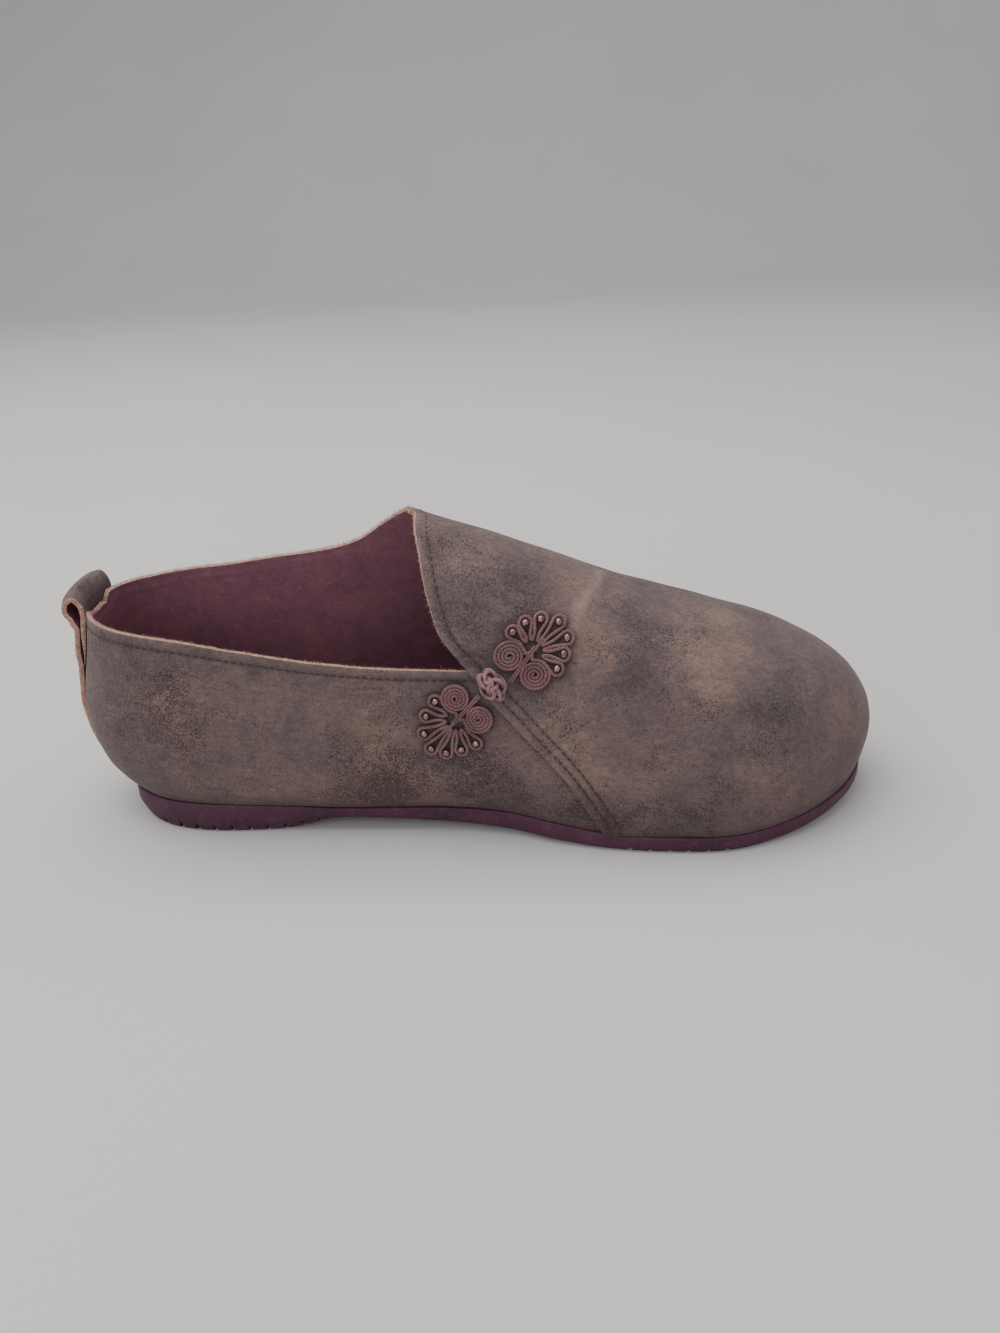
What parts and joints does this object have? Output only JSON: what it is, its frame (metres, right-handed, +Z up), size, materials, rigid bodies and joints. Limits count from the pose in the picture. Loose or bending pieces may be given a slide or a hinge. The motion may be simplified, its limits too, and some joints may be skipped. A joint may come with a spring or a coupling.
{
  "type": "flat slip-on shoe",
  "caption": "Right-foot flat slip-on shoe of soft brushed leather with a thin low-heeled rubber sole, a slanting lap seam, a knotted cord frog with beads and a heel pull loop.",
  "frame": {"origin": "middle of the underside of the whole shoe, on the ground", "axes": "+X from heel to toe, +Y towards the inner side of the foot, +Z up"},
  "size_m": [0.2608, 0.0912, 0.0976],
  "materials": {
    "leather": "brushed, mottled brown, grey and tan",
    "sole": "satin plum",
    "insole": "suede, dark plum",
    "cord": "matt braided cord, dusty mauve",
    "bead": "polished, pale pink gold"
  },
  "bodies": {
    "root": {"outsole": "sole", "insole": "insole", "upper": "leather", "heel_strip": "leather", "frog_front": "cord", "frog_rear": "cord", "frog_knot": "cord", "bead_front_1": "bead", "bead_front_2": "bead", "bead_front_3": "bead", "bead_front_4": "bead", "bead_front_5": "bead", "bead_front_6": "bead", "bead_front_7": "bead", "bead_rear_1": "bead", "bead_rear_2": "bead", "bead_rear_3": "bead", "bead_rear_4": "bead", "bead_rear_5": "bead", "bead_rear_6": "bead", "bead_rear_7": "bead"}
  },
  "joints": []
}
